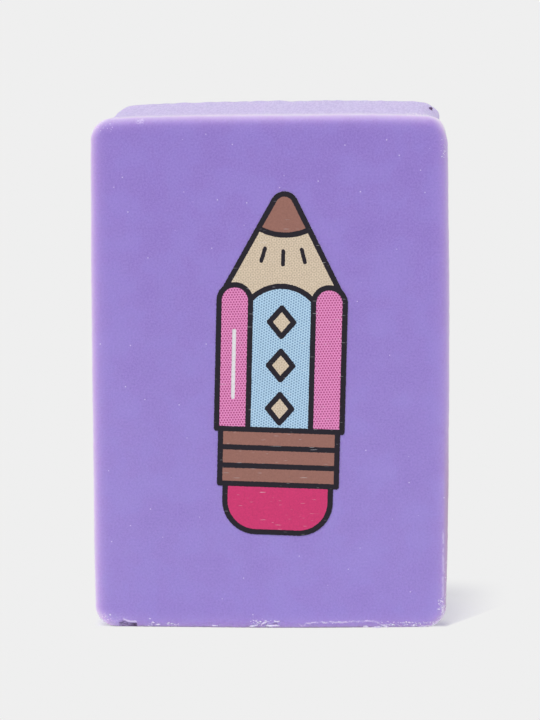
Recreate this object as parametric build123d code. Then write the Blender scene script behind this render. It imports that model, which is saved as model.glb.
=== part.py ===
from build123d import *
import os

# Printed block eraser: a tapered rubber block with a picture of a pencil transferred on to its front.
# The block stands on its short end with its printed face towards -Y, and the origin is the middle of
# its base. Sizes are in millimetres, and angles in degrees.

# Rubber block
BLOCK_WIDTH = 25.2
BLOCK_HEIGHT = 36.5
BLOCK_THICKNESS = 10.0
WAIST_INSET = 0.7  # each side wall is hollow: it leans in by this much at half its depth
BACK_INSET = 0.85  # and by this much at the back
CORNER_RADIUS = 1.6
FRONT_EDGE_RADIUS = 0.6
BACK_EDGE_RADIUS = 0.3

# Transfer print: a base coat on the rubber, then the inks side by side on the base coat
BASE_COAT_THICKNESS = 0.03
INK_THICKNESS = 0.03
LINE_WIDTH = 0.38  # dark outlines
FINE_LINE_WIDTH = 0.28  # wood grain and highlights
PRINT_SHIFT = 0.8  # the picture's middle lies this far right of the block's middle
PRINT_RISE = 1.2  # and this far above it
PRINT_TILT = 1.5  # the picture leans to the right

# Picture of a pencil with its point upwards, sized along the middle of its outlines
BARREL_WIDTH = 8.8
BARREL_LENGTH = 9.2
MIDDLE_FACET_WIDTH = 4.4
SCALLOP_RISE = 1.0  # height of the arch that ends each painted facet
CONE_LENGTH = 8.4
LEAD_LENGTH = 3.8
POINT_RADIUS = 0.8
FERRULE_WIDTH = 8.2
FERRULE_BANDS = 3
FERRULE_BAND_HEIGHT = 1.3
RUBBER_WIDTH = 7.4
RUBBER_LENGTH = 3.4
RUBBER_CORNER_RADIUS = 2.2

# Small marks in the picture
DIAMONDS = 3  # on the middle facet
DIAMOND_WIDTH = 1.7
DIAMOND_GAP = 1.05  # between neighbours
GRAIN_STROKES = 3  # on the bare wood, fanned out from the point
GRAIN_LENGTH = 1.2
GRAIN_DISTANCE = 5.4  # from the point to the middle of a stroke
GRAIN_SPREAD = 15.0
HIGHLIGHT_LENGTH = 5.0  # bare streak in the left facet, where the base coat shows

# Heights of the picture's joins, from its foot
FERRULE_BOTTOM = RUBBER_LENGTH
BARREL_BOTTOM = FERRULE_BOTTOM + FERRULE_BANDS * FERRULE_BAND_HEIGHT
BARREL_TOP = BARREL_BOTTOM + BARREL_LENGTH
POINT_HEIGHT = BARREL_TOP + CONE_LENGTH

STANDING = (Align.CENTER, Align.MIN)


def eraser_block():
    """The rubber block: a bar with hollow side walls, cut square at both ends, with soft edges."""
    half_front = BLOCK_WIDTH / 2
    half_waist, half_back = half_front - WAIST_INSET, half_front - BACK_INSET
    front, back = -BLOCK_THICKNESS / 2, BLOCK_THICKNESS / 2
    plan = [
        Line((-half_front, front), (half_front, front)),
        ThreePointArc((half_front, front), (half_waist, 0), (half_back, back)),
        Line((half_back, back), (-half_back, back)),
        ThreePointArc((-half_back, back), (-half_waist, 0), (-half_front, front)),
    ]
    block = extrude(make_face(plan), BLOCK_HEIGHT)
    corners = block.edges() - block.edges().filter_by(Axis.X) - block.edges().filter_by(Axis.Z)
    block = fillet(corners, CORNER_RADIUS)
    block = fillet(block.faces().sort_by(Axis.Y)[0].edges(), FRONT_EDGE_RADIUS)
    return fillet(block.faces().sort_by(Axis.Y)[-1].edges(), BACK_EDGE_RADIUS)


def pencil_end():
    """The rubber on the pencil's end, rounded at its two lower corners."""
    end = Rectangle(RUBBER_WIDTH, RUBBER_LENGTH, align=STANDING)
    return fillet(end.vertices().group_by(Axis.Y)[0], RUBBER_CORNER_RADIUS)


def ferrule_bands():
    """The ferrule's crimped bands, stacked between the rubber and the barrel."""
    band = Rectangle(FERRULE_WIDTH, FERRULE_BAND_HEIGHT, align=STANDING)
    return [Pos(0, FERRULE_BOTTOM + i * FERRULE_BAND_HEIGHT) * band for i in range(FERRULE_BANDS)]


def barrel_facet(left, right):
    """One painted facet of the barrel, ended by an arch towards the point."""
    upper_left, upper_right = (left, BARREL_TOP), (right, BARREL_TOP)
    crown = ((left + right) / 2, BARREL_TOP + SCALLOP_RISE)
    sides = Polyline(upper_left, (left, BARREL_BOTTOM), (right, BARREL_BOTTOM), upper_right)
    return make_face([*sides.edges(), ThreePointArc(upper_right, crown, upper_left)])


def sharpened_cone():
    """The whole cone from the barrel to the rounded point, as if the barrel ended square."""
    half = BARREL_WIDTH / 2
    cone = make_face(Polyline((-half, BARREL_TOP), (half, BARREL_TOP), (0, POINT_HEIGHT), close=True))
    return fillet(cone.vertices().sort_by(Axis.Y)[-1], POINT_RADIUS)


def picture_areas():
    """Each ink's areas of the picture, met edge to edge, in the picture's own plane."""
    outer, inner = BARREL_WIDTH / 2, MIDDLE_FACET_WIDTH / 2
    left_facet = barrel_facet(-outer, -inner)
    middle_facet = barrel_facet(-inner, inner)
    right_facet = barrel_facet(inner, outer)
    cone = sharpened_cone()
    lead = cone & Pos(0, POINT_HEIGHT) * Circle(LEAD_LENGTH)
    wood = cone - lead - left_facet - middle_facet - right_facet
    return {
        "light_blue": [middle_facet],
        "pink": [left_facet, right_facet],
        "raspberry": [pencil_end()],
        "cream": [wood],
        "brown": [lead, *ferrule_bands()],
    }


def diamonds():
    """The diamonds in a row along the middle facet."""
    pitch = BARREL_LENGTH / DIAMONDS
    half_width, half_height = DIAMOND_WIDTH / 2, (pitch - DIAMOND_GAP) / 2
    diamond = make_face(
        Polyline((half_width, 0), (0, half_height), (-half_width, 0), (0, -half_height), close=True)
    )
    return [Pos(0, BARREL_BOTTOM + (i + 0.5) * pitch) * diamond for i in range(DIAMONDS)]


def grain_strokes():
    """Short strokes of wood grain that fan out from the point."""
    stroke = Pos(0, -GRAIN_DISTANCE) * SlotOverall(GRAIN_LENGTH, FINE_LINE_WIDTH, rotation=90)
    bearings = [GRAIN_SPREAD * (i - (GRAIN_STROKES - 1) / 2) for i in range(GRAIN_STROKES)]
    return [Pos(0, POINT_HEIGHT) * Rot(0, 0, bearing) * stroke for bearing in bearings]


def facet_highlight():
    """The bare streak down the middle of the left facet."""
    across = -(BARREL_WIDTH + MIDDLE_FACET_WIDTH) / 4
    streak = SlotOverall(HIGHLIGHT_LENGTH, FINE_LINE_WIDTH, rotation=90)
    return Pos(across, BARREL_BOTTOM + BARREL_LENGTH / 2) * streak


def printed_films():
    """The base coat, the dark outlines and one film per coloured ink, as flat sketches."""
    areas = picture_areas()
    silhouette = Sketch() + [area for group in areas.values() for area in group]
    silhouette = offset(silhouette, LINE_WIDTH / 2)
    inks = {}
    for name, group in areas.items():
        inks[name] = Sketch() + [offset(area, -LINE_WIDTH / 2) for area in group]
    inks["light_blue"] -= [offset(diamond, LINE_WIDTH / 2) for diamond in diamonds()]
    inks["cream"] += [offset(diamond, -LINE_WIDTH / 2) for diamond in diamonds()]
    inks["cream"] -= grain_strokes()
    outlines = silhouette - list(inks.values())
    inks["pink"] -= facet_highlight()
    return silhouette, outlines, inks


def printed_nodes():
    """The films as solids on the block's front face, by node name."""
    middle = (PRINT_SHIFT, -BLOCK_THICKNESS / 2, BLOCK_HEIGHT / 2 + PRINT_RISE)
    across = Vector(1, 0, 0).rotate(Axis.Y, PRINT_TILT)
    face = Plane(origin=middle, x_dir=across, z_dir=(0, -1, 0))
    on_rubber = face * Pos(0, -POINT_HEIGHT / 2)
    on_base_coat = on_rubber * Pos(0, 0, BASE_COAT_THICKNESS)
    silhouette, outlines, inks = printed_films()
    nodes = {
        "print_base_coat": on_rubber * extrude(silhouette, BASE_COAT_THICKNESS),
        "print_outlines": on_base_coat * extrude(outlines, INK_THICKNESS),
    }
    for name, film in inks.items():
        nodes["print_" + name] = on_base_coat * extrude(film, INK_THICKNESS)
    return nodes


def main():
    os.makedirs("parts", exist_ok=True)
    nodes = {"eraser_block": eraser_block(), **printed_nodes()}
    for name, shape in nodes.items():
        export_step(shape, f"parts/{name}.step")


main()
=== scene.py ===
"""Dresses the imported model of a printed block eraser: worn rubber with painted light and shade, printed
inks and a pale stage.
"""

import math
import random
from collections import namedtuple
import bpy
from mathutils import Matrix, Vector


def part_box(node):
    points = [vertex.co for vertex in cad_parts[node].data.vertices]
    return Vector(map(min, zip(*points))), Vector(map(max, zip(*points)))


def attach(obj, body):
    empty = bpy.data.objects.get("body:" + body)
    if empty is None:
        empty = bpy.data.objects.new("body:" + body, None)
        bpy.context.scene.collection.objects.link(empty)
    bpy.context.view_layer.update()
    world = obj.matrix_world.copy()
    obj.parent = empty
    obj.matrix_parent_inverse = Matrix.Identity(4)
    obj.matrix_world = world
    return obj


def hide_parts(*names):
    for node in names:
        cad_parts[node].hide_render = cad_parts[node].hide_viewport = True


bl_info = {
    "name": "Printed block eraser",
    "version": (1, 0, 0),
    "blender": (4, 5, 0),
    "location": "View3D > Sidebar > Eraser",
    "description": "Gives a packed block eraser its worn rubber, its printed inks and a pale stage",
    "category": "Object",
}

import bmesh
import bpy
import numpy as np
from bpy.props import FloatProperty, FloatVectorProperty, IntProperty, PointerProperty
from mathutils import Quaternion, Vector, noise
from mathutils.geometry import delaunay_2d_cdt

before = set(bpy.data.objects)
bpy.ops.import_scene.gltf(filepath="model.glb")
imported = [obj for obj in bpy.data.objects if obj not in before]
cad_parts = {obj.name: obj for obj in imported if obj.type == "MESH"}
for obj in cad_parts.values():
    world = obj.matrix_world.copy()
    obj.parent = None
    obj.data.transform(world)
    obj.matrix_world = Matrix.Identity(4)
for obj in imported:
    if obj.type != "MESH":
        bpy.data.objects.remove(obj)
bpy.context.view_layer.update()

MM = 0.001
BODY = "root"
BLOCK_LOW, BLOCK_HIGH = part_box("eraser_block")
BLOCK_SIZE = BLOCK_HIGH - BLOCK_LOW
FRONT = BLOCK_LOW.y / MM


# Settings


def length(name, description, default):
    """A length in metres."""
    return FloatProperty(name=name, description=description, default=default, unit="LENGTH", precision=5)


def angle(name, description, degrees):
    """An angle, given here in degrees."""
    return FloatProperty(name=name, description=description, default=math.radians(degrees), subtype="ANGLE")


def colour(name, description, default):
    """A linear colour."""
    return FloatVectorProperty(
        name=name, description=description, default=default, subtype="COLOR", size=3, min=0.0, max=1.0
    )


class RubberSettings(bpy.types.PropertyGroup):
    """Sizes and colours of the rubber block."""

    width: length("Width", "Widest part of the front", BLOCK_SIZE.x)
    height: length("Height", "From the base to the middle of the top", BLOCK_SIZE.z - 0.07 * MM)
    thickness: length("Thickness", "From the front to the back", BLOCK_SIZE.y)
    wall_inset: length("Wall inset", "How far each side wall lies in from the front's edge", 0.8 * MM)
    left_bow: length("Left bow", "How far the left wall swells at half height", 0.07 * MM)
    right_bow: length("Right bow", "How far the right wall swells at half height", 0.20 * MM)
    foot_corner: length("Foot corner radius", "Lower corners seen from the front", 1.55 * MM)
    top_corner: length("Top corner radius", "Upper corners seen from the front", 1.38 * MM)
    back_corner_width: length("Back corner width", "Width of the same corners at the back", 1.7 * MM)
    back_corner_height: length("Back corner height", "Height of the same corners at the back", 1.1 * MM)
    front_edge_width: length("Front edge width", "How far the soft edge reaches over the front", 0.65 * MM)
    top_edge_width: length("Top edge width", "How far the soft edge reaches down at the top", 0.66 * MM)
    front_edge_depth: length("Front edge depth", "How far the soft edge reaches over the walls", 0.5 * MM)
    back_edge: length("Back edge radius", "Soft edge around the back face", 0.3 * MM)
    front_lean: length("Front lean", "Rise of the top's front edge from left to right", 0.29 * MM)
    back_lean: length("Back lean", "Rise of the top's back edge from left to right", 0.40 * MM)
    front_droop: length("Front droop", "How much lower the top's front edge is at its ends", 0.28 * MM)
    back_droop: length("Back droop", "How much lower the top's back edge is at its ends", 0.2 * MM)
    right_pinch: length("Right pinch", "How far the front draws in below its upper right corner", 0.1 * MM)
    foot_lift: length("Foot lift", "How far the right of the foot's front edge is worn up", 0.22 * MM)
    dark: colour("Dark grain", "Darkest grain of the rubber", (0.160, 0.089, 0.417))
    light: colour("Light grain", "Lightest grain of the rubber", (0.470, 0.361, 0.805))
    blue: colour("Blue bloom", "Tint of the rubber's bluer clouds", (0.28, 0.26, 0.68))
    flush: colour("Flush", "What the front's colour is multiplied by at the top", (0.98, 0.93, 1.0))
    # Painted highlight: the pale rim that the front takes on towards its edges, standing in for light
    # caught there
    glow: colour("Glow", "Colour that the front takes on towards its edges", (0.72, 0.475, 0.83))
    # Partly worn, partly painted highlight: the very edge is paler where it is rubbed and where the light
    # catches it
    edge: colour("Worn edge", "Colour of the very edge", (0.83, 0.76, 0.92))
    # Partly painted light: the walls, the top above all, are paler as if lit at a graze; partly a dusty
    # bloom on the cut faces
    pale: colour("Pale rubber", "Colour of the walls", (0.71, 0.61, 0.97))
    torn: colour("Torn rubber", "Colour where the rubber is torn or scuffed", (0.85, 0.78, 0.96))
    # Painted shade: the dark in the tear, between the shreds and along the foot; also the colour of the
    # dark dirt specks
    shade_and_dirt: colour("Deep rubber", "Colour at the bottom of a tear", (0.075, 0.042, 0.115))
    # Painted shade: a darker, pinker colour low on the right edge, the side away from the lamp
    right_edge_shade: colour("Grime", "Dirt low on the right edge", (0.49, 0.32, 0.45))


class CrumbSettings(bpy.types.PropertyGroup):
    """The torn crumbs along the foot of the front face, and the grain of grit on the top."""

    seed: IntProperty(name="Seed", description="Starts the crumbs' random shapes", default=7, min=0)
    thinnest: length("Thinnest", "Least height of a crumb", 0.06 * MM)
    thickest: length("Thickest", "Greatest height of a crumb", 0.16 * MM)
    grit_across: length("Grit across", "How far the grit lies to the right", 11.02 * MM)
    grit_depth: length("Grit depth", "How far the grit lies behind the middle", 2.35 * MM)
    grit_size: length("Grit size", "Width of the grit", 0.27 * MM)
    grit_dark: colour("Dark grit", "Darkest grain of the grit", (0.08, 0.05, 0.10))
    grit_light: colour("Light grit", "Lightest grain of the grit", (0.17, 0.11, 0.21))


class PrintSettings(bpy.types.PropertyGroup):
    """Colours and screen of the transfer print."""

    wave: length("Screen wave", "Distance between the rows of the screen's dots", 0.17 * MM)
    wander: length("Edge wander", "How far an ink's edge strays from its drawn line", 0.022 * MM)
    base_coat: colour("Base coat", "White under the inks", (0.80, 0.79, 0.80))
    outlines: colour("Outlines", "Dark ink of the outlines", (0.020, 0.017, 0.024))
    light_blue: colour("Light blue", "Light blue between the dots", (0.49, 0.71, 0.87))
    light_blue_dots: colour("Light blue dots", "Dots of the light blue screen", (0.20, 0.33, 0.50))
    pink: colour("Pink", "Pink between the dots", (0.84, 0.295, 0.58))
    pink_dots: colour("Pink dots", "Dots of the pink screen", (0.42, 0.075, 0.21))
    raspberry: colour("Raspberry", "Solid raspberry ink", (0.64, 0.046, 0.167))
    cream: colour("Cream", "Cream between the dots", (0.755, 0.62, 0.47))
    cream_dots: colour("Cream dots", "Dots of the cream screens", (0.47, 0.39, 0.26))
    brown: colour("Brown", "Solid brown ink", (0.325, 0.155, 0.122))


class StageSettings(bpy.types.PropertyGroup):
    """Floor, light and camera."""

    floor: colour("Floor", "Colour of the floor", (0.9, 0.9, 0.94))
    backdrop: colour("Backdrop", "Colour seen around the object", (0.863, 0.863, 0.863))
    shadow: FloatProperty(name="Shadow", description="Strength of the shadow that is seen", default=0.5)
    sky: FloatProperty(name="Sky", description="Strength of the even light", default=0.6, min=0.0)
    lamp: FloatProperty(name="Lamp", description="Strength of the soft lamp", default=1.5, min=0.0)
    lamp_side: angle("Lamp side", "How far to the left of the front the lamp stands", 23.0)
    lamp_height: angle("Lamp height", "How high the lamp stands", 50.0)
    lamp_spread: angle("Lamp spread", "How wide the lamp is, seen from the object", 40.0)
    camera_distance: length("Camera distance", "From the camera to the middle of the front", 300 * MM)
    camera_pitch: angle("Camera pitch", "How far the camera looks down", 9.44)
    camera_turn: angle("Camera turn", "How far the camera stands to the right", 3.6)
    camera_roll: angle("Camera roll", "How far the camera leans to the right", 0.19)
    aim_side: length("Aim side", "How far the middle of the picture lies to the right", 0.04 * MM)
    aim_height: length("Aim height", "Height of the point at the middle of the picture", 19.28 * MM)
    lens: FloatProperty(name="Lens", description="Focal length", default=214.7, unit="CAMERA", min=1.0)


# Shader building


class Shade:
    """A socket in a finish. Arithmetic on it adds Math nodes to the finish."""

    def __init__(self, finish, socket):
        self.finish = finish
        self.socket = socket

    def __add__(self, other):
        return self.finish.math("ADD", self, other)

    def __radd__(self, other):
        return self.finish.math("ADD", other, self)

    def __sub__(self, other):
        return self.finish.math("SUBTRACT", self, other)

    def __rsub__(self, other):
        return self.finish.math("SUBTRACT", other, self)

    def __mul__(self, other):
        return self.finish.math("MULTIPLY", self, other)

    def __truediv__(self, other):
        return self.finish.math("DIVIDE", self, other)

    def __pow__(self, other):
        return self.finish.math("POWER", self, other)

    def __abs__(self):
        return self.finish.math("ABSOLUTE", self)


class Finish:
    """A node tree, with one method that adds any node to it and a few short forms of that method."""

    def __init__(self, tree):
        self.tree = tree
        self.tree.nodes.clear()

    def node(self, kind, settings=None, sockets=None, output=0):
        """Adds a node, makes its settings, then sets or links its sockets, and returns one output."""
        node = self.tree.nodes.new(kind)
        for name, value in (settings or {}).items():
            setattr(node, name, value)
        for key, value in (sockets or {}).items():
            if isinstance(value, Shade):
                self.tree.links.new(value.socket, node.inputs[key])
            else:
                node.inputs[key].default_value = value
        return Shade(self, node.outputs[output]) if node.outputs else None

    def math(self, operation, *values):
        """A Math node on values or sockets."""
        return self.node("ShaderNodeMath", {"operation": operation}, dict(enumerate(values)))

    def mix(self, factor, first, second):
        """A colour that goes from the first to the second as the factor goes from 0 to 1."""
        return self.node("ShaderNodeMix", {"data_type": "RGBA"}, {0: factor, 6: first, 7: second}, output=2)

    def rise(self, value, low, high):
        """0 below low, 1 above high and smooth between. It falls where low is above high."""
        if low > high:
            return 1 - self.rise(value, high, low)
        sockets = {"Value": value, "From Min": low, "From Max": high}
        return self.node("ShaderNodeMapRange", {"interpolation_type": "SMOOTHSTEP"}, sockets)

    def place(self):
        """The place on the object, in millimetres."""
        metres = self.node("ShaderNodeTexCoord", output="Object")
        return self.node("ShaderNodeVectorMath", {"operation": "SCALE"}, {0: metres, "Scale": 1 / MM})

    def axes(self, vector):
        """The three numbers of a vector."""
        separate = {"Vector": vector}
        return [self.node("ShaderNodeSeparateXYZ", sockets=separate, output=axis) for axis in "XYZ"]

    def stretched(self, vector, sizes):
        """A vector divided by sizes, so that noise on it has about those sizes."""
        return self.node("ShaderNodeVectorMath", {"operation": "DIVIDE"}, {0: vector, 1: sizes})

    def noise(self, vector, scale=1.0, detail=2.0, roughness=0.5):
        """Smooth noise from 0 to 1."""
        sockets = {"Vector": vector, "Scale": scale, "Detail": detail, "Roughness": roughness}
        return self.node("ShaderNodeTexNoise", sockets=sockets)

    def attribute(self, name):
        """A number stored on the mesh."""
        return self.node("ShaderNodeAttribute", {"attribute_name": name}, output="Fac")

    def largest(self, *shares):
        """The largest of several shares."""
        total = shares[0]
        for share in shares[1:]:
            total = self.math("MAXIMUM", total, share)
        return total

    def bump(self, height, strength, depth):
        """The normal of a fine relief. A height of 1 stands as far out as the depth, in millimetres."""
        sockets = {"Strength": strength, "Distance": depth * MM, "Height": height}
        return self.node("ShaderNodeBump", sockets=sockets)

    def surface(self, shader):
        """Links a shader to the material's output."""
        self.node("ShaderNodeOutputMaterial", sockets={"Surface": shader})

    def principled(self, sockets):
        """Makes the material one Principled surface."""
        self.surface(self.node("ShaderNodeBsdfPrincipled", sockets=sockets))


def new_material(name):
    """A new material and the finish that fills it."""
    material = bpy.data.materials.new(name)
    material.use_nodes = True
    return material, Finish(material.node_tree)


def flat(tint):
    """A colour with its alpha."""
    return (*tint, 1.0)


# Rubber finish

Scuff = namedtuple("Scuff", "start end low high share")  # a scuffed patch of the front, in millimetres
SCUFFS = (
    Scuff(start=-12.2, end=-11.0, low=0.2, high=1.25, share=0.85),
    Scuff(start=-8.8, end=-7.6, low=-0.2, high=0.7, share=0.8),
    Scuff(start=-7.5, end=-6.2, low=-0.2, high=0.6, share=0.9),
    Scuff(start=-4.6, end=-3.3, low=-0.2, high=0.4, share=0.85),
    Scuff(start=-1.6, end=0.9, low=-0.2, high=0.9, share=0.88),
    Scuff(start=7.6, end=12.3, low=-0.2, high=0.9, share=0.88),
    Scuff(start=11.6, end=12.4, low=1.3, high=2.5, share=0.95),
    Scuff(start=11.7, end=12.5, low=33.3, high=35.25, share=0.72),
    Scuff(start=-12.4, end=-10.5, low=35.1, high=36.4, share=0.7),
)
FADE = 0.3  # soft margin of a scuffed patch
SPLIT_START, SPLIT_END = 1.95, 8.2  # a pale split above the foot, from left to right
SPLIT_HEIGHT, SPLIT_RISE, SPLIT_FALL = 0.46, 0.26, 0.5
SPLIT_WIDTH = 0.09
DIP_MIDDLE, DIP_REACH, DIP_DEPTH = 2.25, 0.35, 0.24  # a sharp dip near the split's left end
TEAR_START, TEAR_END = -10.76, -9.42  # a torn flap near the left end of the foot
TEAR_LOW, TEAR_CREST, TEAR_STEP = 0.385, 0.17, 0.11  # its lip: height, rise to the crest, drop at the left
CREST_START, CREST_END = TEAR_START + 0.28, TEAR_START + 0.85
GAP_START, GAP_END, GAP_HEIGHT = 0.05, 0.65, 0.41  # painted shade in a gap between the shreds
SMEAR_MIDDLE, SMEAR_REACH = -8.95, 0.4  # a pale smear on the upper front edge
LINE_ACROSS, LINE_FOOT, LINE_TOP = 12.18, 1.3, 7.4  # a faint line up the right of the front
HAZE_START, HAZE_FULL, HAZE_TOP, HAZE_LOW = -8.6, -11.0, 1.3, 0.3  # a pale haze at the lower left corner
SCRATCH_START, SCRATCH_END = 9.2, 12.0  # pale scratches at the right end of the top
SCRATCH_BACK, SCRATCH_FRONT = -2.2, -3.4  # and how far back they reach
DASH_TOP, DASH_FULL = 9.0, 4.0  # short scratches low on the right edge
RIGHT_SHADE_TOP, RIGHT_SHADE_FULL = 17.0, 9.0  # painted shade on the same edge, the side away from the lamp
FOOT_DARK_START, FOOT_DARK_END = 2.0, 8.0  # the painted contact shade along the foot is darkest below the split
FLECK_FROM, FLECK_FULL = 0.79, 0.88  # noise above these is a fleck
RUBBER_DEPTHS = (1.0, 0.45, 0.9)  # how deep red, green and blue light go into the rubber, as shares
LIFT_START, LIFT_END = -2.0, 15.0  # the foot's front edge is worn up between these places
LIFT_REACH, LIFT_DEPTH = 3.0, 4.0  # up the front, and back along the base


def smooth_rise(value, low, high):
    """0 below low, 1 above high and smooth between. It falls where low is above high."""
    share = min(1.0, max(0.0, (value - low) / (high - low)))
    return share * share * (3 - 2 * share)


def foot_height(across, rise, rubber):
    """Height of the foot's front edge at a place across the block."""
    return rise(across, LIFT_START, LIFT_END) * (rubber.foot_lift / MM)


def tear_lip(across, rise):
    """Height of the torn flap's upper lip at a place across the block."""
    ends = rise(across, TEAR_START, TEAR_START + 0.06) * rise(across, TEAR_END, TEAR_END - 0.06)
    crest = rise(across, CREST_END, CREST_START) * TEAR_CREST
    step = rise(across, CREST_START, CREST_START - 0.08) * TEAR_STEP
    return (TEAR_LOW + crest - step) * ends


def window(finish, value, low, high):
    """1 from low to high, with soft ends."""
    return finish.rise(value, low, low + FADE) * finish.rise(value, high, high - FADE)


def scuffed_share(finish, across, up):
    """How scuffed the front is, from 0 to 1."""
    shares = []
    for scuff in SCUFFS:
        inside = window(finish, across, scuff.start, scuff.end) * window(finish, up, scuff.low, scuff.high)
        shares.append(inside * scuff.share)
    return finish.largest(*shares)


def foot_split(finish, place, across, up):
    """The pale, jagged split above the foot."""
    share = (across - SPLIT_START) / (SPLIT_END - SPLIT_START)
    dip = finish.rise(abs(across - DIP_MIDDLE), DIP_REACH, 0.0)
    jagged = finish.noise(place, 4.5, 5.0, 0.8) - 0.5
    line = SPLIT_HEIGHT + share * SPLIT_RISE + jagged * 0.5
    line = line - dip * DIP_DEPTH - finish.rise(share, 0.86, 1.0) * SPLIT_FALL
    inside = finish.rise(share, 0.0, 0.02) * finish.rise(share, 1.0, 0.98)
    off = abs(up - line)
    bright = 0.25 + finish.rise(finish.noise(place, 2.5, 3.0, 0.7), 0.38, 0.62) * 0.95
    return finish.rise(off, SPLIT_WIDTH, SPLIT_WIDTH / 3) * inside * bright


def foot_tear(finish, place, across, up):
    """The torn flap near the left end of the foot: its pale lip, and painted shade in the shallow tear
    below it.
    """
    ragged = finish.noise(place, 5.0, 3.0, 0.7) - 0.5
    streaks = finish.noise(finish.stretched(place, (0.18, 1.0, 0.07)), 1.0, 2.0) - 0.5
    across = across + ragged * 0.3
    bottom = finish.rise(across, TEAR_START + 0.28, TEAR_START) * 0.26
    below = tear_lip(across, finish.rise) + streaks * 0.2 - up
    inside = finish.rise(across, TEAR_START, TEAR_START + 0.05)
    inside = inside * finish.rise(across, TEAR_END, TEAR_END - 0.05)
    lip = finish.rise(below, -0.17, -0.10) * finish.rise(below, 0.02, -0.05)
    lip = lip * finish.rise(across, CREST_START, CREST_START + 0.15) * inside
    shade = 0.52 + finish.rise(across, TEAR_END - 0.5, TEAR_END - 0.2) * 0.43 - streaks * 1.8
    # Painted shade in the shallow tear
    tear = finish.rise(below, 0.0, 0.06) * finish.rise(up - bottom, 0.02, 0.08) * inside * shade
    return lip, tear


def corner_haze(finish, flakes, across, up):
    """The pale haze over the lower left corner of the front."""
    near = finish.rise(across, HAZE_START, HAZE_FULL) * finish.rise(up, HAZE_TOP, HAZE_LOW)
    return near * (0.08 + finish.rise(flakes, 0.45, 0.7) * 0.35)


def top_scratches(finish, streaks, across, depth):
    """The pale scratches at the right end of the top."""
    near = window(finish, across, SCRATCH_START, SCRATCH_END)
    near = near * finish.rise(depth, SCRATCH_BACK, SCRATCH_FRONT)
    return near * finish.rise(streaks, 0.5, 0.8) * finish.attribute("cut") * 0.7


def shred_gap_shade(finish, across, up):
    """Painted shade in the gap between two shreds at the foot."""
    off = abs(up - GAP_HEIGHT)
    return finish.rise(off, 0.08, 0.03) * window(finish, across, GAP_START, GAP_END) * 0.5


def edge_dashes(finish, place, across, up, half_width):
    """Short upright scratches low on the right edge of the front."""
    dashes = finish.noise(finish.stretched(place, (0.09, 0.3, 0.22)), 1.0, 2.0)
    near = finish.rise(across, half_width - 0.45, half_width - 0.2) * finish.rise(up, DASH_TOP, DASH_FULL)
    return finish.rise(dashes + near * 0.2, 0.79, 0.87) * 0.7


def edge_line(finish, place, across, up):
    """The faint pale line low on the front, just inside its right edge."""
    wavy = finish.noise(finish.stretched(place, (1.0, 1.0, 0.8)), 1.0, 3.0, 0.6)
    broken = finish.rise(finish.noise(place, 3.0, 2.0), 0.38, 0.55)
    off = abs(across - LINE_ACROSS + (wavy - 0.5) * 0.2)
    return finish.rise(off, 0.1, 0.02) * window(finish, up, LINE_FOOT, LINE_TOP) * broken * 0.36


def corner_flecks(finish, flakes, across, up, half_width, radius):
    """The pale flecks that follow the rounded lower right corner of the front."""
    out = finish.largest(across - (half_width - radius), 0.0)
    down = finish.largest(radius - up, 0.0)
    near = finish.rise((out * out + down * down) ** 0.5, radius - 0.65, radius - 0.3)
    near = near * finish.rise(across, half_width - 2.4, half_width - 1.8) * finish.rise(up, 2.2, 1.6)
    return finish.rise(flakes + near * 0.34, FLECK_FROM, FLECK_FULL)


def top_smear(finish, flakes, across, up, height):
    """The pale smear on the upper front edge."""
    off = abs(across - SMEAR_MIDDLE)
    near = finish.rise(off, SMEAR_REACH, 0.1) * window(finish, up, height - 0.75, height - 0.1)
    return near * finish.rise(flakes, 0.4, 0.6)


def specks(finish, place, cell, radius, share):
    """Sparse specks, one in some of the cells of a loose grid."""
    grid = {"Vector": place, "Scale": 1 / cell}
    distance = finish.node("ShaderNodeTexVoronoi", sockets=grid) * cell
    chance = finish.axes(finish.node("ShaderNodeTexVoronoi", sockets=grid, output="Color"))[0]
    return finish.rise(distance, radius, radius * 0.5) * finish.math("LESS_THAN", chance, share)


def mottled_paint(finish, rubber, place, grain):
    """The rubber's colour: fine grain, bluer clouds, a flush towards the top, and painted light that makes
    the front lighter towards the bottom.
    """
    across, _, up = finish.axes(place)
    half_width, height = rubber.width / MM / 2, rubber.height / MM
    clouds = finish.noise(place, 0.5, 3.0)
    # Painted light: lighter towards the bottom, as from the floor's bounce; the next line makes it lighter
    # towards the left edge
    tone = clouds * 0.2 + grain * 0.8 + (0.5 - up / height) * 0.10
    tone = tone + finish.rise(across, -7.5, -half_width) * 0.05
    paint = finish.mix(tone, flat(rubber.dark), flat(rubber.light))
    paint = finish.mix(finish.rise(clouds, 0.42, 0.62) * 0.14, paint, flat(rubber.blue))
    tint = {"data_type": "RGBA", "blend_type": "MULTIPLY"}
    sockets = {0: finish.rise(up, height * 0.2, height), 6: paint, 7: flat(rubber.flush)}
    return finish.node("ShaderNodeMix", tint, sockets, output=2)


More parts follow.
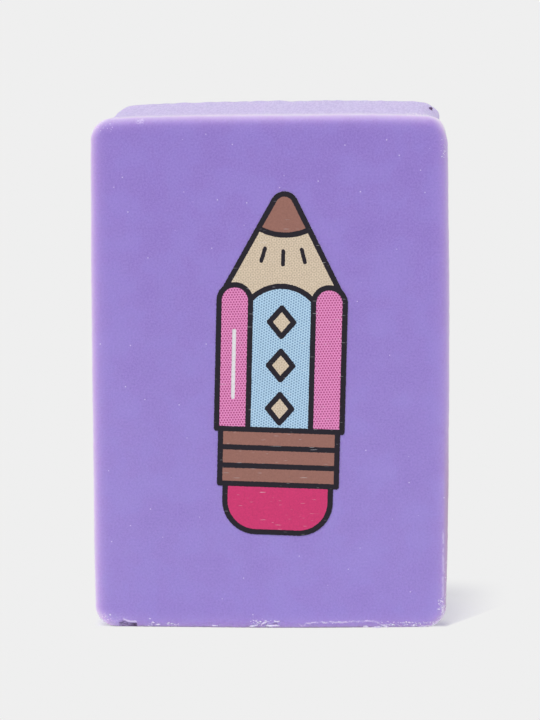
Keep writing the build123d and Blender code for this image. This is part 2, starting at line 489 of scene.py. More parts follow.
def edged_paint(finish, rubber, place, paint, streaks):
    """The paint with the painted rim highlight, the worn edges, which are partly painted highlight, the
    paler walls, which are partly painted light, and painted shade low on the right edge and along the foot.
    """
    across, _, up = finish.axes(place)
    half_width = rubber.width / MM / 2
    # Painted highlight along the front's edges
    paint = finish.mix(finish.attribute("glow"), paint, flat(rubber.glow))
    # Paler walls: partly a dusty bloom, partly painted light on the top
    paint = finish.mix(finish.attribute("cut") * (0.52 + streaks * 0.40), paint, flat(rubber.pale))
    # Worn edge, partly painted highlight
    paint = finish.mix(finish.attribute("edge"), paint, flat(rubber.edge))
    # Painted shade low on the right edge
    right_edge_shade_share = finish.rise(across, half_width - 0.35, half_width) * finish.rise(up, RIGHT_SHADE_TOP, RIGHT_SHADE_FULL)
    paint = finish.mix(right_edge_shade_share * 0.65, paint, flat(rubber.right_edge_shade))
    # Painted contact shade along the foot
    above_foot = up - foot_height(across, finish.rise, rubber)
    under_split = window(finish, across, FOOT_DARK_START, FOOT_DARK_END)
    foot_contact_shade = finish.rise(above_foot, 0.15, 0.04) * (0.38 + under_split * 0.35)
    return finish.mix(foot_contact_shade, paint, flat(rubber.shade_and_dirt))


def worn_shares(finish, rubber, place, streaks):
    """How far each place is worn pale, and how far it is dark with dirt specks or with painted shade in the
    tear and between the shreds.
    """
    across, depth, up = finish.axes(place)
    half_width, height = rubber.width / MM / 2, rubber.height / MM
    on_front = finish.rise(depth, FRONT + 0.7, FRONT + 0.3)
    lip, tear = foot_tear(finish, place, across, up)
    flakes = finish.noise(finish.stretched(place, (0.15, 0.15, 0.09)), 1.0, 3.0, 0.6)
    scratches = finish.largest(
        finish.rise(flakes + scuffed_share(finish, across, up) * 0.3, FLECK_FROM, FLECK_FULL),
        foot_split(finish, place, across, up) * 0.62,
        lip * 0.8,
        corner_haze(finish, flakes, across, up),
        edge_dashes(finish, place, across, up, half_width),
        edge_line(finish, place, across, up),
        corner_flecks(finish, flakes, across, up, half_width, rubber.foot_corner / MM),
        top_smear(finish, flakes, across, up, height) * 0.6,
    )
    dust = specks(finish, place, cell=1.0, radius=0.06, share=0.9) * 0.65
    dirt = specks(finish, place, cell=4.0, radius=0.07, share=0.5) * 0.6
    pale = finish.largest(scratches * on_front, top_scratches(finish, streaks, across, depth), dust)
    dark = finish.largest(tear * on_front, shred_gap_shade(finish, across, up) * on_front, dirt)
    return pale, dark


def rubber_finish(rubber):
    """Matt purple rubber with fine mottling, paler where it is torn or scuffed, with a painted highlight
    along its edges and painted shade in its tear, between its shreds, along its foot and low on its right.
    """
    material, finish = new_material("purple_rubber")
    place = finish.place()
    cut = finish.attribute("cut")
    grain = finish.noise(place, 7.0, 4.0, 0.75)
    streaks = finish.noise(finish.stretched(place, (0.14, 0.9, 0.14)), 1.0, 3.0, 0.6)
    streaks = finish.rise(streaks, 0.3, 0.7)
    paint = mottled_paint(finish, rubber, place, grain)
    paint = edged_paint(finish, rubber, place, paint, streaks)
    pale, dark = worn_shares(finish, rubber, place, streaks)
    paint = finish.mix(pale * 0.9, paint, flat(rubber.torn))
    # Painted shade in the tear and between the shreds, and dark dirt specks
    paint = finish.mix(dark, paint, flat(rubber.shade_and_dirt))
    relief = grain * (0.25 + cut * 0.35) + streaks * cut * 0.2 + pale * 0.8
    sockets = {
        "Base Color": paint,
        "Roughness": 0.46 + grain * 0.12 - cut * 0.06,
        "Normal": finish.bump(relief, strength=0.5, depth=0.03),
        "IOR": 1.5,
        "Subsurface Weight": 0.3,
        "Subsurface Radius": RUBBER_DEPTHS,
        "Subsurface Scale": 0.4 * MM,
        "Sheen Weight": 0.25,
        "Sheen Roughness": 0.35,
        "Sheen Tint": (0.96, 0.90, 1.0, 1.0),
    }
    finish.principled(sockets)
    return material


# Rubber block

COARSE_STEP = 0.16  # distance between points around the outline, in millimetres
FINE_STEP = 0.06  # the same along the foot, where the edge is torn
CORNER_STEPS = 26
EDGE_STEPS = 12
WALL_STEPS = 26
RIM_HIGHLIGHT_REACH, EDGE_REACH, WALL_REACH = 0.365, 0.14, 0.5  # how fast the painted rim highlight, the worn edge and the walls' colour fade, in millimetres
BACK_WEAR = 0.12  # share of the worn colour along the back edges
NICK_DEPTH, NICK_SIZE, NICK_RARITY = 0.11, 0.3, 0.12  # along the back edges and the foot
NICK_TOP = 0.8  # height up to which the front is nicked
BURR_HEIGHT, BURR_SIZE = 0.07, 0.7  # along the back edges
WALL_HOLLOW = 6.0  # the walls lean in most just behind the soft front edge
TEAR_DEPTH = 0.12  # how far the torn flap's hollow lies in
BOW_REST = 0.4  # the share of the half height, squared, at which a wall's bow is nought
PINCH_LOW, PINCH_HIGH = 1.9, 0.2  # the pinch at the right lies between these distances below the top
PINCH_LOW_FADE, PINCH_HIGH_FADE = 0.6, 0.7  # and has soft ends
PINCH_DEPTH, PINCH_REACH, PINCH_FULL = 1.5, 1.2, 0.2  # along the wall, over the front, and where it is full
FINE_SWELL, FINE_SIZE = 0.015, 0.5  # small unevenness of the walls
WIDE_SWELL, WIDE_SIZE = 0.03, 4.0  # and large
RIM_HIGHLIGHT_LEVEL, RIM_HIGHLIGHT_SIDES, RIM_HIGHLIGHT_TURN = 0.55, 0.09, 0.165  # painted rim highlight: all round, more at both sides, more on the lamp's left than on the right
EDGE_LEVEL, EDGE_SIDES = 0.56, 0.1  # all round, and more at both sides
EDGE_TOP, EDGE_FOOT = 0.15, 0.31  # worn edge, partly painted highlight: more at the top, where the light falls, and less at the foot, which is in shade
RIGHT_WALL_SHADE = 0.35  # painted shade: how much less pale the right wall is, on the side away from the lamp

WearAndHighlight = namedtuple("WearAndHighlight", "glow edge")  # how much more of the edges' colours, painted rim highlight and worn edge, a corner of the front has
CORNER_WEAR_AND_HIGHLIGHT = {
    "upper left": WearAndHighlight(glow=0.1, edge=0.45),
    "upper right": WearAndHighlight(glow=0.1, edge=0.45),
    "lower left": WearAndHighlight(glow=0.6, edge=0.8),
    "lower right": WearAndHighlight(glow=0.35, edge=0.8),
}
LEFT_WEAR_AND_HIGHLIGHT = WearAndHighlight(glow=0.08, edge=0.25)  # low on the left edge, on the lamp's side
LEFT_WEAR_AND_HIGHLIGHT_TOP, LEFT_WEAR_AND_HIGHLIGHT_FULL = 20.0, 8.0  # below these heights
DULL_START, DULL_FULL, DULL_SHARE = -4.0, -8.0, 0.2  # the painted rim highlight on the top edge is weaker to the left of these places

Ring = namedtuple("Ring", "inset depth tilt")  # tilt is 0 on the front, 90 on the walls, 180 on the back


def outline_places(rubber):
    """Places around the outline, anticlockwise from the lower left, seen from the front.

    Each place is a point of the core rectangle, from -1 to 1, and its outward direction.
    """
    cores, outwards = [], []
    for side in range(4):
        facing = math.radians(90 * side - 90)
        out = np.array([math.cos(facing), math.sin(facing)])
        along = np.array([-out[1], out[0]])
        run = (rubber.width if side % 2 == 0 else rubber.height) / MM
        count = round(run / (FINE_STEP if side == 0 else COARSE_STEP))
        for share in np.linspace(-1.0, 1.0, count + 1):
            cores.append(out + along * share)
            outwards.append(out)
        for step in range(1, CORNER_STEPS):
            turned = facing + math.radians(90) * step / CORNER_STEPS
            cores.append(out + along)
            outwards.append(np.array([math.cos(turned), math.sin(turned)]))
    return np.array(cores), np.array(outwards)


def block_rings(rubber):
    """Rings from the middle of the front, around the walls, to the middle of the back."""
    reach, drop = rubber.front_edge_width / MM, rubber.front_edge_depth / MM
    back_edge, thickness = rubber.back_edge / MM, rubber.thickness / MM
    turns = np.linspace(0.0, math.radians(90), EDGE_STEPS + 1)
    rings = [Ring(inset, 0.0, 0.0) for inset in np.linspace(rubber.top_corner / MM - 0.06, reach, 6)]
    for turn in turns[1:]:
        tilt = math.atan2(drop * math.sin(turn), reach * math.cos(turn))
        rings.append(Ring(reach * (1 - math.sin(turn)), drop * (1 - math.cos(turn)), tilt))
    for share in np.linspace(0.0, 1.0, WALL_STEPS + 1)[1:]:
        depth = between(drop, thickness - back_edge, share**1.5)
        rings.append(Ring(0.0, depth, math.radians(90)))
    for turn in turns[1:]:
        depth = thickness - back_edge * (1 - math.sin(turn))
        rings.append(Ring(back_edge * (1 - math.cos(turn)), depth, math.radians(90) + turn))
    for inset in np.linspace(back_edge, rubber.back_corner_height / MM - 0.1, 6)[1:]:
        rings.append(Ring(inset, thickness, math.pi))
    return rings


def nick_share(spot, ring):
    """1 where an edge is nicked, at the back and at the foot, and 0 elsewhere."""
    return 1.0 if ring.tilt > math.radians(90) or spot.z < NICK_TOP else 0.0


def between(front, back, share):
    """A size that changes evenly from the front to the back."""
    return front + (back - front) * share


def edge_shares(ring, out, spot, rubber):
    """How far a point takes on the walls' colour, which is partly painted light, the painted rim highlight,
    and the edges' worn colour, which is partly painted highlight.
    """
    drop, deepest = rubber.front_edge_depth / MM, rubber.thickness / MM
    right, top, down = max(0.0, out[0]), max(0.0, out[1]), max(0.0, -out[1])
    level, side = "upper" if out[1] > 0 else "lower", "right" if out[0] > 0 else "left"
    # The corners' extra wear and painted highlight
    wear = CORNER_WEAR_AND_HIGHLIGHT[f"{level} {side}"]
    corner = abs(2 * out[0] * out[1])
    low_left = max(0.0, -out[0]) * smooth_rise(spot.z, LEFT_WEAR_AND_HIGHLIGHT_TOP, LEFT_WEAR_AND_HIGHLIGHT_FULL)
    dull = DULL_SHARE * top * smooth_rise(spot.x, DULL_START, DULL_FULL)
    # Painted rim highlight: more at the sides, more on the lamp's left, at the corners and low on the left
    glow = RIM_HIGHLIGHT_LEVEL + RIM_HIGHLIGHT_SIDES * out[0] ** 2 - RIM_HIGHLIGHT_TURN * out[0]
    glow = (glow + wear.glow * corner + LEFT_WEAR_AND_HIGHLIGHT.glow * low_left) * (1 - dull)
    # Worn edge, partly painted highlight: more at the top, and less at the foot, where it is in shade
    edge = EDGE_LEVEL + EDGE_SIDES * abs(out[0]) + EDGE_TOP * top - EDGE_FOOT * down
    edge += wear.edge * corner + LEFT_WEAR_AND_HIGHLIGHT.edge * low_left
    if ring.depth < drop:
        innermost = math.exp(-rubber.top_corner / MM / RIM_HIGHLIGHT_REACH)
        cut = smooth_rise(ring.tilt, math.radians(50), math.radians(90))
        glow *= max(0.0, math.exp(-ring.inset / RIM_HIGHLIGHT_REACH) - innermost)
        edge *= math.exp(-ring.inset / EDGE_REACH)
    else:
        cut = math.sin(ring.tilt)
        fade = math.exp((drop - ring.depth) / WALL_REACH)
        glow *= fade
        edge = max(edge * fade, BACK_WEAR * math.exp((ring.depth - deepest) / WALL_REACH) * cut)
    # The right wall is less pale, as painted shade
    return cut * (1 - RIGHT_WALL_SHADE * right), min(1.0, glow), min(1.0, edge)


def shaped_spot(rubber, ring, core, out):
    """One point of the block before wear, in millimetres."""
    thickness, height, width = rubber.thickness / MM, rubber.height / MM, rubber.width / MM
    soft_edge = rubber.front_edge_depth / MM
    back_share = ring.depth / thickness
    hollow = 1 - (1 - max(0.0, ring.depth - soft_edge) / (thickness - soft_edge)) ** WALL_HOLLOW
    half_width = width / 2 - rubber.wall_inset / MM * hollow
    front_corner = rubber.foot_corner if core[1] < 0 else rubber.top_corner
    corner_x = between(front_corner, rubber.back_corner_width, back_share) / MM
    corner_z = between(front_corner, rubber.back_corner_height, back_share) / MM
    squeeze = rubber.top_edge_width / rubber.front_edge_width if out[1] > 0 else 1.0
    x = core[0] * (half_width - corner_x) + out[0] * (corner_x - ring.inset)
    z = height / 2 + core[1] * (height / 2 - corner_z) + out[1] * (corner_z - ring.inset * squeeze)
    bow = (rubber.left_bow if core[0] < 0 else rubber.right_bow) / MM
    x += out[0] * bow * (BOW_REST - (2 * z / height - 1) ** 2)
    lean = between(rubber.front_lean, rubber.back_lean, back_share) / MM
    towards_end = (x / half_width) ** 2
    most_droop = between(rubber.front_droop * towards_end, rubber.back_droop, back_share) / MM
    z += z / height * (lean * x / width - most_droop * towards_end)
    below = height - z
    pinch = smooth_rise(below, PINCH_LOW, PINCH_LOW - PINCH_LOW_FADE)
    pinch *= smooth_rise(below, PINCH_HIGH, PINCH_HIGH + PINCH_HIGH_FADE)
    pinch *= smooth_rise(ring.depth, PINCH_DEPTH, PINCH_FULL)
    pinch *= smooth_rise(ring.inset, PINCH_REACH, PINCH_FULL)
    x -= rubber.right_pinch / MM * pinch * max(0.0, out[0])
    return Vector((x, FRONT + ring.depth, z))


def worn_spot(rubber, ring, out, spot):
    """The same point with its wear: uneven walls, nicks, the torn flap and the lifted foot."""
    wall, bend = math.sin(ring.tilt), abs(math.sin(2 * ring.tilt))
    near_back = (ring.depth * MM / rubber.thickness) ** 4
    near_front = smooth_rise(ring.depth, LIFT_DEPTH, 0.0)
    uneven = FINE_SWELL * noise.noise(spot / FINE_SIZE) + WIDE_SWELL * noise.noise(spot / WIDE_SIZE)
    uneven += BURR_HEIGHT * near_back * noise.noise(spot / BURR_SIZE)
    pit = max(0.0, noise.noise(spot / NICK_SIZE) - NICK_RARITY)
    nick = NICK_DEPTH * pit * bend * nick_share(spot, ring)
    push = uneven * wall * (1 + min(0.0, out[1])) - nick
    x, y, z = spot.x + out[0] * push, spot.y, spot.z + out[1] * push
    torn = smooth_rise(tear_lip(x, smooth_rise) - z, 0.0, 0.1) * smooth_rise(z, 0.0, 0.1)
    y += math.cos(ring.tilt) * nick + TEAR_DEPTH * torn * near_front
    z += foot_height(x, smooth_rise, rubber) * smooth_rise(z, LIFT_REACH, 0.0) * near_front
    return Vector((x, y, max(0.0, z)))


def block_points(rubber):
    """The block's points, ring by ring, and for each point its shares of the edges' colours."""
    cores, outwards = outline_places(rubber)
    points = []
    shares = {"cut": [], "glow": [], "edge": []}
    for ring in block_rings(rubber):
        for core, out in zip(cores, outwards):
            spot = shaped_spot(rubber, ring, core, out)
            points.append(worn_spot(rubber, ring, out, spot) * MM)
            for name, share in zip(shares, edge_shares(ring, out, spot, rubber)):
                shares[name].append(share)
    return points, shares, len(outwards)


def placed(name, data):
    """A new object in the scene."""
    piece = bpy.data.objects.new(name, data)
    bpy.context.scene.collection.objects.link(piece)
    return piece


def mesh_piece(name, points, faces, material):
    """A mesh object with the given finish, which rides on the body."""
    mesh = bpy.data.meshes.new(name)
    mesh.from_pydata(points, [], faces)
    mesh.materials.append(material)
    piece = placed(name, mesh)
    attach(piece, BODY)
    return piece


def store(mesh, name, values):
    """Stores one number for each point of a mesh."""
    layer = mesh.attributes.new(name, "FLOAT", "POINT")
    layer.data.foreach_set("value", values)


def build_block(rubber):
    """The worn rubber block."""
    points, shares, around = block_points(rubber)
    rings = len(points) // around
    faces = []
    for ring in range(rings - 1):
        for place in range(around):
            following = (place + 1) % around
            here, beyond = ring * around, (ring + 1) * around
            faces.append((here + place, beyond + place, beyond + following, here + following))
    faces.append(tuple(range(around)))
    faces.append(tuple(reversed(range((rings - 1) * around, rings * around))))
    piece = mesh_piece("rubber_block", points, faces, rubber_finish(rubber))
    for name, values in shares.items():
        store(piece.data, name, values)
    piece.data.shade_smooth()
    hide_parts("eraser_block")


class ERASER_OT_rubber_block(bpy.types.Operator):
    """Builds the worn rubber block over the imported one"""

    bl_idname = "eraser.rubber_block"
    bl_label = "Rubber block"

    def execute(self, context):
        build_block(context.scene.eraser_rubber)
        return {"FINISHED"}


# Crumbs

Cluster = namedtuple("Cluster", "start end count longest top")  # along the foot, in millimetres
CRUMB_CLUSTERS = (
    Cluster(start=-8.7, end=-7.8, count=3, longest=0.18, top=0.5),
    Cluster(start=-7.4, end=-6.5, count=3, longest=0.18, top=0.35),
    Cluster(start=-1.4, end=-0.2, count=4, longest=0.18, top=0.6),
    Cluster(start=8.5, end=10.9, count=5, longest=0.15, top=0.45),
)
Shred = namedtuple("Shred", "middle height length thick lean")  # larger torn strips along the foot
SHREDS = (
    Shred(middle=-8.53, height=0.68, length=0.12, thick=0.09, lean=0.0),
    Shred(middle=-8.29, height=0.40, length=0.26, thick=0.10, lean=-0.2),
    Shred(middle=-7.94, height=0.25, length=0.30, thick=0.10, lean=0.0),
    Shred(middle=-6.99, height=0.34, length=0.18, thick=0.06, lean=0.4),
    Shred(middle=-3.90, height=0.20, length=0.40, thick=0.10, lean=0.0),
    Shred(middle=-1.17, height=0.23, length=0.60, thick=0.13, lean=0.25),
    Shred(middle=-0.41, height=0.46, length=0.45, thick=0.12, lean=0.5),
    Shred(middle=0.15, height=0.25, length=0.90, thick=0.15, lean=0.0),
    Shred(middle=0.44, height=0.57, length=0.36, thick=0.08, lean=0.0),
    Shred(middle=6.73, height=0.26, length=0.40, thick=0.14, lean=-0.1),
    Shred(middle=7.57, height=0.22, length=0.75, thick=0.14, lean=0.0),
    Shred(middle=8.07, height=0.33, length=0.45, thick=0.14, lean=-0.5),
    Shred(middle=10.12, height=0.39, length=0.16, thick=0.16, lean=0.0),
)
SHRED_LOWEST = 0.004  # no shred reaches below this height
GRIT_DRAWN_OUT = 1.4  # the grit's depth, as a share of its width


def foot_spot(x, z, rubber):
    """The place on the front's soft lower edge at a place across the block and a height."""
    above_foot = max(0.0, z - foot_height(x, smooth_rise, rubber))
    off = 1 - min(1.0, above_foot / (rubber.front_edge_width / MM))
    return Vector((x, FRONT + rubber.front_edge_depth / MM * (1 - math.sqrt(1 - off * off)), z))


def crumb_mesh(middle, sizes, lean, lowest):
    """One torn crumb: a small ball, drawn out, made ragged and cut off below its lowest height."""
    ball = bmesh.new()
    bmesh.ops.create_icosphere(ball, subdivisions=3, radius=0.5)
    points = []
    for vertex in ball.verts:
        ragged = 1.0 + 0.8 * noise.noise(vertex.co * 3.0 + middle * 9.0)
        offset = Vector([side * size for side, size in zip(vertex.co, sizes)]) * ragged
        offset.z += offset.x * lean
        spot = middle + offset
        spot.z = max(spot.z, lowest)
        points.append(spot * MM)
    faces = [tuple(vertex.index for vertex in face.verts) for face in ball.faces]
    ball.free()
    return points, faces


def foot_crumbs(crumbs, rubber):
    """The meshes of the small crumbs and then of the larger shreds."""
    chooser = random.Random(crumbs.seed)
    for cluster in CRUMB_CLUSTERS:
        for _ in range(cluster.count):
            x = chooser.uniform(cluster.start, cluster.end)
            foot = foot_height(x, smooth_rise, rubber)
            thick = chooser.uniform(crumbs.thinnest, crumbs.thickest) / MM
            z = foot + thick * 0.5 + chooser.random() ** 1.6 * cluster.top
            sizes = (chooser.uniform(0.4, 1.0) * cluster.longest, thick * 0.6, thick)
            yield crumb_mesh(foot_spot(x, z, rubber), sizes, chooser.uniform(-0.3, 0.3), foot)
    for shred in SHREDS:
        middle = foot_spot(shred.middle, shred.height, rubber)
        yield crumb_mesh(middle, (shred.length, shred.thick, shred.thick), shred.lean, SHRED_LOWEST)


def crumb_finish(rubber):
    """Torn rubber: whitened, with the block's purple showing through in places."""
    material, finish = new_material("torn_rubber")
    grain = finish.noise(finish.place(), 9.0, 3.0, 0.6)
    paint = finish.mix(finish.rise(grain, 0.35, 0.8) * 0.6, flat(rubber.torn), flat(rubber.light))
    sockets = {
        "Base Color": paint,
        "Roughness": 0.55 + grain * 0.2,
        "Normal": finish.bump(grain, strength=0.6, depth=0.02),
        "Subsurface Weight": 0.3,
        "Subsurface Radius": RUBBER_DEPTHS,
        "Subsurface Scale": 0.2 * MM,
    }
    finish.principled(sockets)
    return material


def build_crumbs(crumbs, rubber):
    """All the crumbs, as one piece."""
    points, faces = [], []
    for more_points, more_faces in foot_crumbs(crumbs, rubber):
        faces += [tuple(index + len(points) for index in face) for face in more_faces]
        points += more_points
    piece = mesh_piece("foot_crumbs", points, faces, crumb_finish(rubber))
    piece.data.shade_smooth()


def grit_finish(crumbs):
    """A dark, dull grain of dirt."""
    material, finish = new_material("grit")
    grain = finish.noise(finish.place(), 12.0, 2.0)
    paint = finish.mix(grain, flat(crumbs.grit_dark), flat(crumbs.grit_light))
    sockets = {"Base Color": paint, "Roughness": 0.7 + grain * 0.2, "Specular IOR Level": 0.1}
    finish.principled(sockets)
    return material


def build_grit(crumbs):
    """The grain of grit, set into the block's top."""
    size = crumbs.grit_size / MM
    block = bpy.data.objects["rubber_block"]
    above = Vector((crumbs.grit_across, crumbs.grit_depth, 2 * BLOCK_HIGH.z))
    scene_now = bpy.context.evaluated_depsgraph_get()
    hit, spot, _, _ = block.ray_cast(above, Vector((0, 0, -1)), depsgraph=scene_now)
    if not hit:
        raise RuntimeError("The grit lies beside the block's top.")
    points, faces = crumb_mesh(spot / MM, (size, size * GRIT_DRAWN_OUT, size), 0.0, 0.0)
    mesh_piece("top_grit", points, faces, grit_finish(crumbs))


class ERASER_OT_crumbs_and_grit(bpy.types.Operator):
    """Adds the torn crumbs along the foot of the front and the grain of grit on the top"""

    bl_idname = "eraser.crumbs_and_grit"
    bl_label = "Crumbs and grit"

    def execute(self, context):
        build_crumbs(context.scene.eraser_crumbs, context.scene.eraser_rubber)
        build_grit(context.scene.eraser_crumbs)
        return {"FINISHED"}


# Transfer print

FILM_STEP = 0.045  # distance between points along a film's edge, in millimetres
WANDER_SIZE = 0.12
WELD = 0.0005  # points closer than this are one
FACING = -0.9  # a face whose normal's Y is below this looks to the front

# Directions of the rows of dots, in degrees
INK_SCREENS = {"light_blue": (55.0,), "pink": (32.7,), "cream": (32.7, 61.0)}
INKS = ("base_coat", "outlines", "light_blue", "pink", "raspberry", "cream", "brown")


def film_loops(node):
    """The outlines of a film's front face, as loops of points in its plane, in millimetres."""
    film = bmesh.new()
    film.from_mesh(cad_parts[node].data)
    bmesh.ops.remove_doubles(film, verts=film.verts, dist=WELD * MM)
    film.normal_update()
    front = [face for face in film.faces if face.normal.y < FACING]
    following = {}
    for face in front:
        for loop in face.loops:
            other = [linked for linked in loop.edge.link_faces if linked is not face][0]
            if other.normal.y > FACING:
                following[loop.vert.index] = loop.link_loop_next.vert.index
    spots = {vertex.index: Vector((vertex.co.x, vertex.co.z)) / MM for vertex in film.verts}
    film.free()
    loops = []
    while following:
        place = next(iter(following))
        loop = []
        while place in following:
            loop.append(spots[place])
            place = following.pop(place)
        loops.append(loop)
    return loops


def wandering(loop, wander):
    """A loop with close points, each moved a little off the drawn line."""
    points = []
    for start, end in zip(loop, loop[1:] + loop[:1]):
        count = max(1, round((end - start).length / FILM_STEP))
        for step in range(count):
            spot = start.lerp(end, step / count)
            sample = Vector((spot.x, 0.0, spot.y)) / WANDER_SIZE
            push = Vector((noise.noise(sample), noise.noise(sample + Vector((0.0, 9.0, 0.0)))))
            points.append(spot + push * wander)
    return points


def inked_triangles(places, triangles, spots, edges):
    """The triangles whose middle lies within an odd number of the film's loops."""
    corners = np.array([[places[index] for index in triangle] for triangle in triangles])
    middles = corners.mean(axis=1)
    starts = np.array([spots[start] for start, _ in edges])
    ends = np.array([spots[end] for _, end in edges])
    crossings = np.zeros(len(middles), dtype=int)
    for start, end in zip(starts, ends):
        spans = (start[1] > middles[:, 1]) != (end[1] > middles[:, 1])
        share = (middles[spans, 1] - start[1]) / (end[1] - start[1]) if spans.any() else 0.0
        crossings[spans] += middles[spans, 0] < start[0] + (end[0] - start[0]) * share
    return [triangle for triangle, count in zip(triangles, crossings) if count % 2 == 1]


def build_film(name, node, material, settings):
    """One ink film with a slightly ragged edge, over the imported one."""
    spots, edges = [], []
    for loop in film_loops(node):
        loop = wandering(loop, settings.wander / MM)
        first = len(spots)
        spots += loop
        edges += [(first + i, first + (i + 1) % len(loop)) for i in range(len(loop))]
    filled = delaunay_2d_cdt(spots, edges, [], 1, 1e-6)
    triangles = inked_triangles(filled[0], filled[2], spots, edges)
    spots = filled[0]
    low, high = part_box(node)
    count = len(spots)
    points = [(spot.x * MM, low.y, spot.y * MM) for spot in spots]
    points += [(spot.x * MM, high.y, spot.y * MM) for spot in spots]
    faces = [tuple(face) for face in triangles]
    faces += [tuple(index + count for index in reversed(face)) for face in triangles]
    sides = [side for face in triangles for side in zip(face, [*face[1:], face[0]])]
    shared = set(sides)
    rims = [(start, end) for start, end in sides if (end, start) not in shared]
    faces += [(end, start, start + count, end + count) for start, end in rims]
    piece = mesh_piece(name, points, faces, material)
    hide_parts(node)


def dots(finish, across, up, wave, turn):
    """A hexagonal screen of dots: the mean of three waves, 60 degrees apart, from -0.5 to 1."""
    total = 0.0
    for step in range(3):
        bearing = math.radians(turn + 60 * step)
        along = across * math.cos(bearing) + up * math.sin(bearing)
        total = finish.math("COSINE", along * (2 * math.pi / wave)) + total
    return total / 3


def screened(finish, place, ink, settings):
    """The colour of an ink that is printed as one or two screens of dots."""
    across, _, up = finish.axes(place)
    paint = flat(getattr(settings, ink))
    for turn in INK_SCREENS[ink]:
        wave = dots(finish, across, up, settings.wave / MM, turn)
        strength = 1.0 / len(INK_SCREENS[ink])
        dot_colour = flat(getattr(settings, f"{ink}_dots"))
        paint = finish.mix(finish.rise(wave, -0.4, 0.6) * strength, paint, dot_colour)
    return paint


def ink_finish(ink, settings):
    """A printed ink: a screen of dots or a solid, with fine cracks and a matt face."""
    material, finish = new_material(f"ink_{ink}")
    place = finish.place()
    grain = finish.noise(place, 10.0, 3.0, 0.65)
    paint = screened(finish, place, ink, settings) if ink in INK_SCREENS else flat(getattr(settings, ink))
    paint = finish.mix((grain - 0.36) * 0.5, paint, flat(settings.outlines))
    cracks = finish.noise(finish.stretched(place, (0.9, 1.0, 0.06)), 1.0, 1.0)
    cracks = finish.rise(cracks, 0.71, 0.76)
    paint = finish.mix(cracks * 0.45, paint, flat(settings.base_coat))
    sockets = {
        "Base Color": paint,
        "Roughness": 0.5 + grain * 0.12,
        "Normal": finish.bump(grain - cracks, strength=0.25, depth=0.01),
        "Specular IOR Level": 0.12,
    }
    finish.principled(sockets)
    return material


class ERASER_OT_transfer_print(bpy.types.Operator):
    """Prints the picture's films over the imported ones"""

    bl_idname = "eraser.transfer_print"
    bl_label = "Transfer print"

    def execute(self, context):
        settings = context.scene.eraser_print
        for ink in INKS:
            build_film(f"film_{ink}", f"print_{ink}", ink_finish(ink, settings), settings)
        return {"FINISHED"}


# Stage

FLOOR_REACH = 4.0  # metres from the object to the floor's edge
SHADE_LEFT, SHADE_RIGHT = -12.7, 17.0  # the floor shows the shadow between these places, in millimetres
SHADE_FRONT, SHADE_BACK = -4.35, 13.0
SHADE_SLANT = 0.048  # the shadow's front edge runs back a little towards the right
FAN_START, FAN_SLANT = 12.4, 1.7  # and more beside the block
CORNER_PLACE = 12.0  # the shadow is darker under the block's front corners, each by its own share
LEFT_DARKER, RIGHT_DARKER = 0.15, 0.35


def seen_rays(finish):
    """1 for the rays that show the surroundings: to the camera, or by way of a reflection."""
    kinds = ("Is Camera Ray", "Is Glossy Ray", "Is Transmission Ray")
    return finish.largest(*[finish.node("ShaderNodeLightPath", output=kind) for kind in kinds])


def floor_finish(stage):
    """A plain pale floor that shows the object's shadow close to it, and is even elsewhere."""
    material, finish = new_material("pale_floor")
    lit = finish.node("ShaderNodeBsdfDiffuse", sockets={"Color": flat(stage.floor)})
    pale = finish.node("ShaderNodeEmission", sockets={"Color": flat(stage.backdrop), "Strength": 1.0})
    across, depth, _ = finish.axes(finish.place())
    shade = finish.rise(across, SHADE_LEFT, SHADE_LEFT + 0.7)
    shade = shade * finish.rise(across, SHADE_RIGHT, SHADE_RIGHT - 5.0)
    beside = finish.largest(across - FAN_START, 0.0)
    behind = depth - across * SHADE_SLANT - beside * FAN_SLANT
    shade = shade * finish.rise(behind, SHADE_FRONT, SHADE_FRONT + 0.75)
    shade = shade * finish.rise(depth, SHADE_BACK, SHADE_BACK - 6.5)
    corners = 0.0
    for side, darker in ((-1, LEFT_DARKER), (1, RIGHT_DARKER)):
        out = across * side
        near = finish.rise(out, CORNER_PLACE + 1.0, CORNER_PLACE) * finish.rise(out, 0.0, 1.0)
        corners = near * darker + corners
    corners = corners * finish.rise(depth, -1.0, -3.0)
    share = seen_rays(finish) * (1 - shade * (stage.shadow + corners))
    finish.surface(finish.node("ShaderNodeMixShader", sockets={0: share, 1: lit, 2: pale}))
    return material


def build_floor(stage):
    """The floor under the object."""
    corners = [(-1, -1), (1, -1), (1, 1), (-1, 1)]
    mesh = bpy.data.meshes.new("floor")
    mesh.from_pydata([(x * FLOOR_REACH, y * FLOOR_REACH, 0.0) for x, y in corners], [], [(0, 1, 2, 3)])
    mesh.materials.append(floor_finish(stage))
    placed("floor", mesh)


def direction(side, height):
    """From the object to a place that far round to the right of its front, and that high."""
    level = math.cos(height)
    return Vector((math.sin(side) * level, -math.cos(side) * level, math.sin(height)))


def build_light(stage):
    """Even light from all round, and a wide soft lamp at the front left."""
    world = bpy.data.worlds.new("studio")
    world.use_nodes = True
    bpy.context.scene.world = world
    finish = Finish(world.node_tree)
    light = finish.node("ShaderNodeBackground", sockets={"Color": (1, 1, 1, 1), "Strength": stage.sky})
    backdrop = finish.node("ShaderNodeBackground", sockets={"Color": flat(stage.backdrop), "Strength": 1.0})
    mixed = finish.node("ShaderNodeMixShader", sockets={0: seen_rays(finish), 1: light, 2: backdrop})
    finish.node("ShaderNodeOutputWorld", sockets={"Surface": mixed})

    sun = bpy.data.lights.new("soft_lamp", "SUN")
    sun.energy = stage.lamp
    sun.angle = stage.lamp_spread
    lamp = placed("soft_lamp", sun)
    lamp.rotation_mode = "QUATERNION"
    lamp.rotation_quaternion = direction(-stage.lamp_side, stage.lamp_height).to_track_quat("Z", "Y")


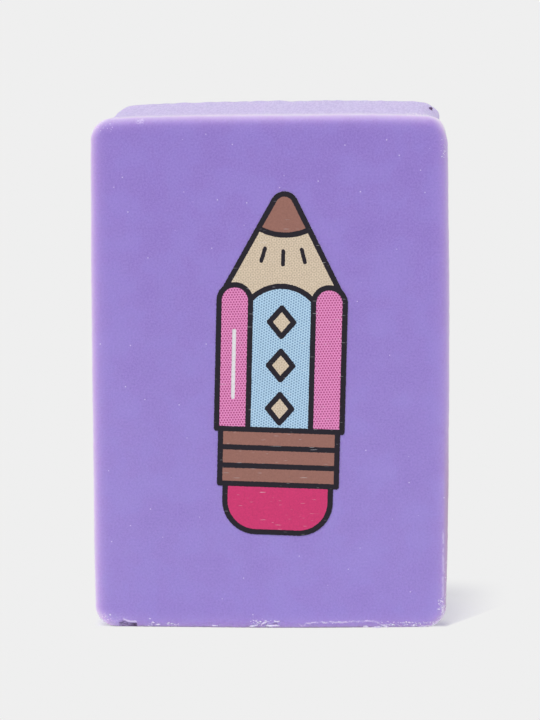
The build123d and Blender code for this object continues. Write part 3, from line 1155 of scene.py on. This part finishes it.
def build_camera(stage):
    """A long lens that looks a little down on the front."""
    data = bpy.data.cameras.new("camera")
    data.lens = stage.lens
    data.clip_start = 0.01
    camera = placed("camera", data)
    back = direction(stage.camera_turn, stage.camera_pitch)
    aim = Vector((stage.aim_side, BLOCK_LOW.y, stage.aim_height))
    camera.location = aim + back * stage.camera_distance
    camera.rotation_mode = "QUATERNION"
    camera.rotation_quaternion = back.to_track_quat("Z", "Y") @ Quaternion((0, 0, 1), -stage.camera_roll)
    bpy.context.scene.camera = camera


class ERASER_OT_stage(bpy.types.Operator):
    """Sets the floor, the light and the camera"""

    bl_idname = "eraser.stage"
    bl_label = "Stage"

    def execute(self, context):
        stage = context.scene.eraser_stage
        build_floor(stage)
        build_light(stage)
        build_camera(stage)
        context.scene.view_settings.view_transform = "Standard"
        return {"FINISHED"}


# Sidebar


class ERASER_PT_sidebar(bpy.types.Panel):
    """Lists the eraser's pieces and settings"""

    bl_label = "Printed block eraser"
    bl_space_type = "VIEW_3D"
    bl_region_type = "UI"
    bl_category = "Eraser"

    def draw(self, context):
        for operator, settings in STEPS:
            box = self.layout.box()
            box.operator(operator.bl_idname)
            group = getattr(context.scene, settings)
            for name in group.bl_rna.properties.keys():
                if name not in ("rna_type", "name"):
                    box.prop(group, name)


SETTINGS = {
    "eraser_rubber": RubberSettings,
    "eraser_crumbs": CrumbSettings,
    "eraser_print": PrintSettings,
    "eraser_stage": StageSettings,
}
STEPS = (
    (ERASER_OT_rubber_block, "eraser_rubber"),
    (ERASER_OT_crumbs_and_grit, "eraser_crumbs"),
    (ERASER_OT_transfer_print, "eraser_print"),
    (ERASER_OT_stage, "eraser_stage"),
)


def register():
    for name, group in SETTINGS.items():
        bpy.utils.register_class(group)
        setattr(bpy.types.Scene, name, PointerProperty(type=group))
    for operator, _ in STEPS:
        bpy.utils.register_class(operator)
    bpy.utils.register_class(ERASER_PT_sidebar)


def unregister():
    bpy.utils.unregister_class(ERASER_PT_sidebar)
    for operator, _ in reversed(STEPS):
        bpy.utils.unregister_class(operator)
    for name, group in reversed(SETTINGS.items()):
        delattr(bpy.types.Scene, name)
        bpy.utils.unregister_class(group)


def main():
    """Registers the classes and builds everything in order."""
    register()
    bpy.ops.eraser.rubber_block()
    bpy.ops.eraser.crumbs_and_grit()
    bpy.ops.eraser.transfer_print()
    bpy.ops.eraser.stage()


if __name__ == "__main__":
    main()
